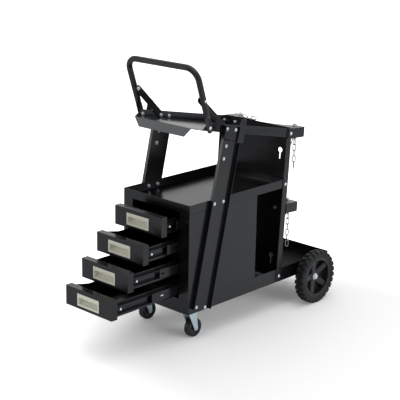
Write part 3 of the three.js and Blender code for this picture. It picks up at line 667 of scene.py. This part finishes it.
class CART_OT_handle(bpy.types.Operator):
    """Bend the handle tube with its pressed ends"""

    bl_idname = "cart.handle"
    bl_label = "Handle"

    leg = 152.8
    tail = -18
    reach = 204.4
    bend = 42
    radius = 10
    flat_half = 2.5
    flat_wide = 13
    flat_middle = 5
    flat_end = 30
    round_start = 56
    leg_middle = 110
    tip = 13
    tip_flattening = 0.6
    least_share = 0.01
    sides = 32
    tip_steps = 6
    flow_steps = 10
    bend_steps = 18
    smooth_angle = 50

    def section(self, height):
        """Half thickness and half width of a leg at a height."""
        share = min(max((height - self.flat_end) / (self.round_start - self.flat_end), 0), 1)
        share = share * share * (3 - 2 * share)
        thick = self.flat_half + (self.radius - self.flat_half) * share
        wide = self.flat_wide + (self.radius - self.flat_wide) * share
        below = (self.tail + self.tip - height) / self.tip
        if below > 0:
            wide *= math.sqrt(max(1 - below * below, self.least_share))
            thick *= math.sqrt(max(1 - self.tip_flattening * below * below, self.least_share))
        return thick, wide

    def stations(self):
        """Place, direction and section of each ring, from tip to tip."""
        quarter = math.pi / 2
        heights = [self.tail + self.tip * (1 - math.cos(quarter * step / self.tip_steps))
                   for step in range(self.tip_steps + 1)]
        heights.append(self.flat_middle)
        heights += [self.flat_end + (self.round_start - self.flat_end) * step / self.flow_steps
                    for step in range(self.flow_steps + 1)]
        heights.append(self.leg_middle)
        leg = [((self.leg, height), (0, 1), self.section(height)) for height in heights]
        round_tube = (self.radius, self.radius)
        for step in range(self.bend_steps + 1):
            across = math.cos(quarter * step / self.bend_steps)
            up = math.sin(quarter * step / self.bend_steps)
            place = (self.leg - self.bend * (1 - across), self.reach - self.bend * (1 - up))
            leg.append((place, (-up, across), round_tube))
        other = [((-x, z), (tx, -tz), size) for (x, z), (tx, tz), size in reversed(leg)]
        return leg + other

    def make(self, shape):
        rings = []
        for (x, z), (tx, tz), (thick, wide) in self.stations():
            circle = [(thick * math.cos(angle), wide * math.sin(angle)) for angle in turns(self.sides)]
            rings.append([(x + tz * across, deep, z - tx * across) for across, deep in circle])
        skin(shape, rings)

    def execute(self, context):
        piece = built("handle_tube", self.make, "powder_coat", HANDLE, self.smooth_angle)
        stands_for(piece, "handle")
        return {"FINISHED"}


class CART_OT_fasteners(bpy.types.Operator):
    """Put bolts and nuts on the frame"""

    bl_idname = "cart.fasteners"
    bl_label = "Bolts and nuts"

    post_bolts = ((36.6, 122.5), (77.9, 112.6), (113.2, 456), (155.4, 456), (207, 684))
    corner_bolt = ((166, 693.5),)
    corner_inside = 146.2
    strap_bolts = ((149.8, 599.3), (160.3, 639.5))
    strap_inside = 150.3
    rear_bolts = ((457, 124.6), (473.7, 453.4))
    tray_bolt = ((490.2, 628.8),)
    handle_foot = ((82, 709),)
    foot_face = 155.3
    handle_strut = ((51, 799),)
    strut_inside = 137.2
    strut_face = 162.4
    panel_nut = (107.6, 478, 361.6)
    wall_nut = (104, -1.5, 14)
    washer_radius = 0.0058
    button = dict(head_radius=0.0046, dome_height=0.0015, washer_radius=0.0046, washer_thickness=0.0005)

    def on_sides(self, way, *rows):
        """Places on both sides for rows of (face, bolts), facing outwards if way is 1, inwards if -1."""
        return [(spot(sign * face, y, z), facing((sign * way, 0, 0)))
                for _, sign in SIDES for face, bolts in rows for y, z in bolts]

    def outside(self):
        return self.on_sides(
            1, (POST_FACE, self.post_bolts + self.corner_bolt + self.rear_bolts),
            (STRAP_FACE, self.strap_bolts + self.tray_bolt), (self.foot_face, self.handle_foot))

    def inside(self):
        places = self.on_sides(
            -1, (RAIL_INSIDE, self.post_bolts + self.tray_bolt + self.handle_foot),
            (self.strap_inside, self.strap_bolts), (self.corner_inside, self.corner_bolt),
            (self.strut_inside, self.handle_strut))
        x, y, z = self.wall_nut
        forward = facing(TRAY.to_3x3() @ Vector((0, -1, 0)))
        return places + [(TRAY @ Vector((sign * x, y, z)), forward) for _, sign in SIDES]

    def execute(self, context):
        sizes = context.scene.cart_sizes
        x, y, z = self.panel_nut
        panel = [(spot(sign * x, y, z), facing((0, -1, 0))) for _, sign in SIDES]
        struts = self.on_sides(1, (self.strut_face, self.handle_strut))
        head = dict(head_radius=sizes.bolt_head, dome_height=sizes.bolt_dome,
                    washer_radius=self.washer_radius)
        nut = dict(nut_radius=sizes.nut_radius)
        for name, places, form, material, values in (
                ("frame_bolts", self.outside(), "Domed bolts", "bright_zinc", head),
                ("handle_buttons", struts, "Domed bolts", "bright_zinc", self.button),
                ("panel_nuts", panel, "Hexagon nuts", "dull_zinc", nut),
                ("frame_nuts", self.inside(), "Hexagon nuts", "bright_zinc", nut)):
            carried(pinned(name, places, form, material, **values), "cart")
        return {"FINISHED"}


class CART_OT_chains(bpy.types.Operator):
    """Hang the chains and form the eye bolts"""

    bl_idname = "cart.chains"
    bl_label = "Chains and eye bolts"

    levels = (("upper", 6.2, 542.6, 6), ("lower", 0.3, 280, 7))
    eye_x = 123
    eye_behind = 45
    eye_drop = 20
    eye_ring = 10
    eye_wire = 2
    eye_steps = 36
    eye_sides = 12
    shank_section = ((-10.6, 0), (-10.6, 2.4), (-9, 3), (-4.3, 3), (-4.3, 5), (-2.3, 5), (-2.3, 3))
    thread_start = 0.4
    thread_pitch = 0.9
    thread_turns = 10
    thread_radii = (2.7, 3.05)
    tip_section = ((9.6, 2.7), (10.3, 2.0), (10.3, 0))
    washer_section = ((0.3, 3.05), (0.3, 9.4), (1.2, 9.6), (1.4, 9.4), (1.4, 3.05))
    nut_section = ((1.4, 3.05), (1.4, 7), (1.9, 7.6), (6.3, 7.6), (6.8, 7), (6.8, 3.05))
    hang_angle = 34
    spacing = 20.2
    inner = 19.6
    wire = 3.2
    play = 0.8
    drape_links = 21
    drape_gap = 0.3
    flattest_drape = 40
    halvings = 80
    tail_twist = 45
    twist_links = 2
    spare_start = (-88, 10, 542.6)
    spare_lifts = (1.9, 6.6, 1.9, 6.6)

    def hang(self):
        """Place across and height of a chain's first point from the middle of its eye."""
        radius = self.eye_ring - self.eye_wire - self.wire / 2 - self.play
        angle = math.radians(self.hang_angle)
        start = (self.inner + self.wire - self.spacing) / 2
        return radius * math.sin(angle), -radius * math.cos(angle) - start

    def drape(self):
        """Points of the chain between the two eyes, on a catenary of its own length."""
        across, down = self.hang()
        span = self.eye_x - across - self.drape_gap
        length = self.drape_links * self.spacing
        low, high = 1.0, self.flattest_drape * span
        for _ in range(self.halvings):
            middle = (low + high) / 2
            if 2 * middle * math.sinh(span / middle) > length:
                low = middle
            else:
                high = middle
        lift = math.hypot(high, length / 2)
        points = []
        for index in range(self.drape_links + 1):
            way = -length / 2 + index * self.spacing
            points.append((high * math.asinh(way / high), math.hypot(high, way) - lift + down))
        return points

    def tail(self, links):
        """Points of a loose end that hangs straight down."""
        across, down = self.hang()
        return [(self.eye_x + across, down - index * self.spacing) for index in range(links + 1)]

    def link_turn(self, along, flat):
        """Turn of a link that lies along one direction with its flat side facing another."""
        return Matrix((along.cross(flat), along, flat)).transposed()

    def links(self, name, places, context):
        return pinned(name, places, "Chain links", "dull_zinc", wire=context.scene.cart_sizes.link_wire)

    def chain(self, name, points, centre, context, twist=0):
        """A chain of links laid crosswise in turn, which twists over its first links."""
        places = []
        for index, ((x0, z0), (x1, z1)) in enumerate(zip(points, points[1:])):
            along = Vector((x1 - x0, 0, z1 - z0)).normalized()
            flat = Vector((0, 1, 0)) if index % 2 else Vector((along.z, 0, -along.x))
            twisted = math.radians(twist) * min(index / self.twist_links, 1)
            flat = Matrix.Rotation(twisted, 3, along) @ flat
            middle = Vector(((x0 + x1) / 2 * MM, 0, (z0 + z1) / 2 * MM))
            places.append((centre + middle, self.link_turn(along, flat).to_euler()))
        stands_for(self.links(f"{name}_links", places, context), name)

    def spare_links(self, context):
        """A few loose links that lie on the upper bracket beside the left eye bolt."""
        places = []
        along = Vector((1, 0, 0))
        up = Vector((0, 0, 1))
        for index, lift in enumerate(self.spare_lifts):
            flat = along.cross(up) if index % 2 else up
            turn = REAR_POST.to_3x3().normalized() @ self.link_turn(along, flat)
            middle = Vector(self.spare_start) + along * index * self.spacing + up * lift
            places.append((REAR_POST @ middle, turn.to_euler()))
        carried(self.links("spare_chain_links", places, context), "cart")

    def eye_bolt(self, shape):
        """Ring, shank, thread, washer and nut of an eye bolt that points up."""
        wire = [(self.eye_wire * math.sin(angle), self.eye_ring + self.eye_wire * math.cos(angle))
                for angle in turns(self.eye_sides, 0.5)]
        lathe(shape, wire, self.eye_steps, "Y")
        bmesh.ops.translate(shape, vec=(0, 0, -self.eye_drop), verts=shape.verts)
        thread = []
        for turn in range(self.thread_turns):
            start = self.thread_start + turn * self.thread_pitch
            thread += zip((start, start + self.thread_pitch / 2), self.thread_radii)
        lathe(shape, [*self.shank_section, *thread, *self.tip_section], 20, "Z", closed=False)
        lathe(shape, self.washer_section, 28, "Z")
        lathe(shape, self.nut_section, 6, "Z")

    def execute(self, context):
        for level, front, top, tail in self.levels:
            centre = REAR_POST @ Vector((0, front + self.eye_behind, top - self.eye_drop))
            self.chain(f"chain_{level}", self.drape(), centre, context)
            self.chain(f"chain_tail_{level}", self.tail(tail), centre, context, self.tail_twist)
            for side, sign in SIDES:
                place = REAR_POST @ Matrix.Translation((sign * self.eye_x, front + self.eye_behind, top))
                piece = built(f"eye_bolt_{level}_{side}_threaded", self.eye_bolt, "bright_zinc", place)
                stands_for(piece, f"eye_bolt_{level}_{side}")
        self.spare_links(context)
        return {"FINISHED"}


class CART_OT_rear_wheels(bpy.types.Operator):
    """Mould the tyres, rims and axle ends"""

    bl_idname = "cart.rear_wheels"
    bl_label = "Rear wheels"

    track = 192
    hub_gap = 0.4
    tyre_radius = 95
    tyre_half = (
        (-15.6, 73), (-16.8, 74.2), (-17.1, 76.2), (-16.4, 77), (-16.8, 78.6), (-17.5, 80), (-17.6, 82.5),
        (-16.6, 86.4), (-13.6, 89.2), (-8, 90), (0, 90.2))
    lug_section = (
        (1.2, 88.5), (1.2, 94.6), (4, 95), (13.4, 95), (16.4, 93.6), (18, 90.4), (18, 85.4), (17, 84.2),
        (15.4, 88))
    lug_half = 6.4
    lug_middle = 9
    lug_slant = 0.32
    lug_bevel = 0.7
    shoulder_from = 12
    shoulder_extra = 1.5
    crown_from = 94
    crown_less = 0.9
    rim_section = (
        (-15.8, 72.7), (-16, 71), (-15.6, 66.5), (-14.6, 62.6), (-13.4, 61.7), (13.4, 61.7), (14.6, 62.6),
        (15.2, 66), (14.4, 67.2), (14.4, 69), (15.6, 70), (16, 71.6), (15.8, 72.7))
    hub_section = (
        (0, 6.4), (0, 13.5), (-0.8, 14.6), (-2.4, 15), (-2.4, 18.4), (-3.4, 19.8), (-29.6, 19.8), (-31, 18.6),
        (-31, 6.4))
    web_section = ((-12, 18), (-12, 62.5), (-8, 62.5), (-8, 18))
    # Distance from the axle, half width and face of the spoke along its way.
    spoke_way = (
        (9, 12.6, -1.2), (22, 12.6, 1.2), (36, 12.6, 4.2), (50, 12.4, 7.2), (58, 12.2, 8.8), (65, 12, 10))
    spoke_back = -11.6
    spoke_sides = 20
    spoke_squareness = 0.6
    spoke_turn = 16
    washer_section = ((0.2, 6.1), (0.2, 11.6), (0.6, 12), (1.4, 12), (1.8, 11.6), (1.8, 6.1))
    nut_section = ((1.8, 6.1), (1.8, 9.4), (2.6, 10), (6.2, 10), (7, 9.2), (7, 6.1))
    tip_section = ((2, 6), (8.2, 6), (9, 5.2), (9, 0))

    def lug(self, shape, sign, turn):
        """One shoulder lug, slanted as it nears the middle."""
        rings = []
        for edge in (-1, 1):
            ring = []
            for x, radius in self.lug_section:
                half = self.lug_half
                half += self.shoulder_extra * (x > self.shoulder_from)
                half -= self.crown_less * (radius > self.crown_from)
                angle = (edge * half + self.lug_slant * (x - self.lug_middle)) / self.tyre_radius + turn
                ring.append((sign * x, -radius * math.sin(angle), radius * math.cos(angle)))
            rings.append(ring)
        skin(shape, rings)

    def spoke(self, shape):
        """One spoke: a rounded bar that rises outwards from the hub to the rim."""
        rings = []
        for along, wide, face in self.spoke_way:
            middle = (face + self.spoke_back) / 2
            deep = (face - self.spoke_back) / 2
            ring = []
            for angle in turns(self.spoke_sides):
                across, rise = (math.copysign(abs(part) ** self.spoke_squareness, part)
                                for part in (math.cos(angle), math.sin(angle)))
                ring.append((middle + deep * rise, wide * across, along))
            rings.append(ring)
        skin(shape, rings)

    def axle_end(self, shape):
        """Washer, chamfered nut and axle tip; X = 0 at the hub face."""
        lathe(shape, self.washer_section, 32)
        lathe(shape, self.nut_section, 6)
        lathe(shape, self.tip_section, 24, closed=False)

    def tyre(self, name, count):
        """A carcass with a ring of lugs on each shoulder, half a pitch apart."""
        def lugs(shape):
            self.lug(shape, 1, 0)
            self.lug(shape, -1, math.pi / count)

        carcass = lathed("carcass", mirrored(self.tyre_half), 104, "tyre_rubber")
        tread = built("tread", lugs, "tyre_rubber")
        bevel = tread.modifiers.new("edge", "BEVEL")
        bevel.width = self.lug_bevel
        bevel.segments = 2
        settled(tread)
        grown(tread, "Ring of copies", count=count, finish=finish("tyre_rubber"))
        return together(name, [carcass, tread])

    def rim(self, name, count, hub):
        """A band, a hub, a web and spokes in one moulding."""
        plastic = "black_plastic"
        band = lathed("band", self.rim_section, 96, plastic)
        core = lathed("core", self.hub_section, 48, plastic, hub)
        web = lathed("web", self.web_section, 96, plastic, hub)
        spokes = built("spokes", self.spoke, plastic, hub)
        grown(spokes, "Ring of copies", count=count, start=math.radians(self.spoke_turn),
              finish=finish(plastic))
        return together(name, [band, core, web, spokes])

    def set_down(self, piece, matrix, slot, node):
        """Moves a mesh to its place, facing outwards, to stand for a node."""
        piece.data.transform(matrix)
        if matrix.determinant() < 0:
            piece.data.flip_normals()
        stands_for(piece, node)

    def execute(self, context):
        sizes = context.scene.cart_sizes
        hub_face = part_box("axle_nut_right")[0].x / MM - self.track - self.hub_gap
        hub = Matrix.Translation((hub_face, 0, 0))
        for side, sign in SIDES:
            place = AXLE @ Matrix.Translation((sign * self.track, 0, 0)) @ Matrix.Scale(sign, 4, (1, 0, 0))
            tyre = self.tyre(f"rear_tyre_{side}_rubber", sizes.lug_count)
            self.set_down(tyre, place, "tyre", f"rear_tyre_{side}")
            rim = self.rim(f"rear_rim_{side}_moulded", sizes.spoke_count, hub)
            self.set_down(rim, place, "plastic", f"rear_rim_{side}")
            end = built(f"axle_nut_{side}_pinned", self.axle_end, "bright_zinc", hub)
            self.set_down(end, place, "zinc", f"axle_nut_{side}")
        frame["nodes"]["rear_axle"].material_slots[0].material = finish("bright_zinc")
        return {"FINISHED"}


class CART_OT_casters(bpy.types.Operator):
    """Form the swivel casters"""

    bl_idname = "cart.casters"
    bl_label = "Casters"

    x = 107
    y = 70
    z = 32
    wheel_half = (
        (-12, 4.4), (-12, 8.8), (-11.4, 9.6), (-7.9, 10), (-7.7, 10.6), (-7.7, 18.6), (-8.3, 19.6),
        (-11.4, 20.2), (-12, 21), (-12, 27.6), (-11.6, 29.2), (-10.2, 30.8), (-7.6, 31.7), (-3.5, 32))

    def execute(self, context):
        radius = context.scene.cart_sizes.edge_radius
        for side, sign in SIDES:
            place = Matrix.Translation(spot(sign * self.x, self.y, self.z)) @ Matrix.Scale(MM, 4)
            wheel = lathed(f"caster_wheel_{side}_turned", mirrored(self.wheel_half), 64, "black_plastic",
                           place)
            stands_for(wheel, f"caster_wheel_{side}")
            for part in ("fork", "plate"):
                softened(f"caster_{part}_{side}", "blue_zinc", radius)
        return {"FINISHED"}


class CART_OT_studio(bpy.types.Operator):
    """Set up the floor, world, lamps and camera"""

    bl_idname = "cart.studio"
    bl_label = "Studio"

    floor_reach = 40
    floor_glow = 0.10
    shade_centre = (0.45, 0.1, 0)
    white_from = (0.5, 1.15)
    sky_light = 0.55
    flag_colour = (0.2, 0.2, 0.2, 1)
    flag_place = (-2.4, -2.95)
    flag_width = 4.7
    flag_heights = ((0, 0.68), (1.35, 2.5))
    # Name, place, aim, size, power, and whether it shows in mirrors.
    lamps = (
        ("front_softbox", (-2.2, -2.7, 1.0), (0, -0.1, 0.9), (1.7, 0.6), 9.6, True),
        ("side_fill", (2.8, 0.6, 1.0), (0, 0.2, 0), (2.0, 1.6), 40, False),
        ("roof_softbox", (0.4, 0.3, 3.5), (0, 0, 0), (3.2, 3.2), 45, True))
    eye = (2498.97, -2501.69, 1488.43)
    azimuth = 44.41
    elevation = 16.07
    roll = 0.62
    focal_pixels = 1142.43
    principal = (166.62, 197.08)
    picture = 400
    sensor = 36
    far_clip = 200

    def screen(self, name, corners, surface):
        """A stage piece of four-cornered faces with a surface."""
        mesh = bpy.data.meshes.new(name)
        mesh.from_pydata(corners, [], [range(first, first + 4) for first in range(0, len(corners), 4)])
        material = bpy.data.materials.new(name)
        material.use_nodes = True
        material.node_tree.nodes.clear()
        work = Nodes(material.node_tree)
        work.add("ShaderNodeOutputMaterial", {"Surface": surface(work)})
        mesh.materials.append(material)
        piece = shown(name, mesh)
        return piece

    def fade(self, work):
        """A glow that rises with the distance from the middle of the shade."""
        place = work.add("ShaderNodeTexCoord")["Object"]
        away = work.add("ShaderNodeVectorMath", {0: place, 1: self.shade_centre}, operation="DISTANCE")
        return work.ramp(away["Value"], self.white_from, (self.floor_glow, 1.0),
                         interpolation_type="SMOOTHSTEP")

    def floor(self, tone):
        """A pale floor that turns white far from the cart."""
        def surface(work):
            matt = work.add("ShaderNodeBsdfDiffuse", {"Color": (*tone, 1)})[0]
            seen = work.add("ShaderNodeLightPath")["Is Camera Ray"]
            strength = work.math("MULTIPLY", seen, self.fade(work))
            glow = work.add("ShaderNodeEmission", {"Strength": strength})[0]
            return work.add("ShaderNodeAddShader", {0: matt, 1: glow})[0]

        corners = [(x * self.floor_reach, y * self.floor_reach, 0)
                   for x, y in ((-1, -1), (1, -1), (1, 1), (-1, 1))]
        self.screen("studio_floor", corners, surface)

    def flag(self):
        """Grey screens under and over the front softbox that show in reflections alone."""
        def surface(work):
            return work.add("ShaderNodeBsdfDiffuse", {"Color": self.flag_colour})[0]

        along = Vector((-self.flag_place[1], self.flag_place[0], 0)).normalized() * self.flag_width / 2
        corners = [Vector((*self.flag_place, z)) + side * along for low, high in self.flag_heights
                   for side, z in ((-1, low), (1, low), (1, high), (-1, high))]
        flag = self.screen("studio_flag", corners, surface)
        for ray in ("camera", "diffuse", "shadow"):
            setattr(flag, f"visible_{ray}", False)

    def sky(self):
        """A white world for the camera and mirrors that lights the cart less."""
        world = bpy.data.worlds.new("studio_sky")
        world.use_nodes = True
        work = Nodes(world.node_tree)
        path = work.add("ShaderNodeLightPath")
        mirror = work.math("ADD", path["Is Glossy Ray"], path["Is Transmission Ray"])
        seen = work.math("ADD", path["Is Camera Ray"], mirror)
        level = work.ramp(seen, (0.0, 1.0), (self.sky_light, 1.0))
        work.feed(world.node_tree.nodes["Background"], {"Color": WHITE, "Strength": level})
        bpy.context.scene.world = world

    def lamp(self, name, place, aim, size, power, in_mirrors):
        light = bpy.data.lights.new(name, "AREA")
        light.shape = "RECTANGLE"
        light.size, light.size_y = size
        light.energy = power
        lamp = shown(name, light)
        lamp.location = place
        lamp.rotation_euler = (Vector(aim) - Vector(place)).to_track_quat("-Z", "Y").to_euler()
        lamp.visible_glossy = in_mirrors

    def camera(self):
        """The camera that took the photo."""
        lens = bpy.data.cameras.new("photo_camera")
        lens.sensor_fit = "HORIZONTAL"
        lens.sensor_width = self.sensor
        lens.lens = self.focal_pixels / self.picture * self.sensor
        lens.shift_x = 0.5 - self.principal[0] / self.picture
        lens.shift_y = self.principal[1] / self.picture - 0.5
        lens.clip_end = self.far_clip
        camera = shown("photo_camera", lens)
        place = Matrix.Translation(spot(*self.eye))
        for angle, axis in ((self.azimuth, "Z"), (90 - self.elevation, "X"), (self.roll, "Z")):
            place = place @ Matrix.Rotation(math.radians(angle), 4, axis)
        camera.matrix_world = place
        bpy.context.scene.camera = camera

    def execute(self, context):
        context.scene.view_settings.view_transform = "Standard"
        self.floor(context.scene.cart_finish.floor)
        self.flag()
        self.sky()
        for lamp in self.lamps:
            self.lamp(*lamp)
        self.camera()
        return {"FINISHED"}


class CART_PT_panel(bpy.types.Panel):
    """Buttons for the cart's pieces, with their sizes and colours"""

    bl_idname = "CART_PT_panel"
    bl_label = "Welding cart"
    bl_space_type = "VIEW_3D"
    bl_region_type = "UI"
    bl_category = "Cart"

    def draw(self, context):
        for group in (context.scene.cart_sizes, context.scene.cart_finish):
            for key in group.bl_rna.properties.keys():
                if key not in ("rna_type", "name"):
                    self.layout.prop(group, key)
        for step in STEPS:
            self.layout.operator(step.bl_idname)


STEPS = (CART_OT_finishes, CART_OT_studio, CART_OT_sheet_metal, CART_OT_drawers, CART_OT_handle,
         CART_OT_fasteners, CART_OT_chains, CART_OT_rear_wheels, CART_OT_casters)
CLASSES = (CartSizes, CartFinish, *STEPS, CART_PT_panel)


def register():
    for item in CLASSES:
        bpy.utils.register_class(item)
    bpy.types.Scene.cart_sizes = bpy.props.PointerProperty(type=CartSizes)
    bpy.types.Scene.cart_finish = bpy.props.PointerProperty(type=CartFinish)


def unregister():
    del bpy.types.Scene.cart_finish
    del bpy.types.Scene.cart_sizes
    for item in reversed(CLASSES):
        bpy.utils.unregister_class(item)


def main():
    register()
    for make_form in (bolt_form, nut_form, link_form, ring_form):
        make_form()
    for step in STEPS:
        family, name = step.bl_idname.split(".")
        getattr(getattr(bpy.ops, family), name)()


if __name__ == "__main__":
    main()
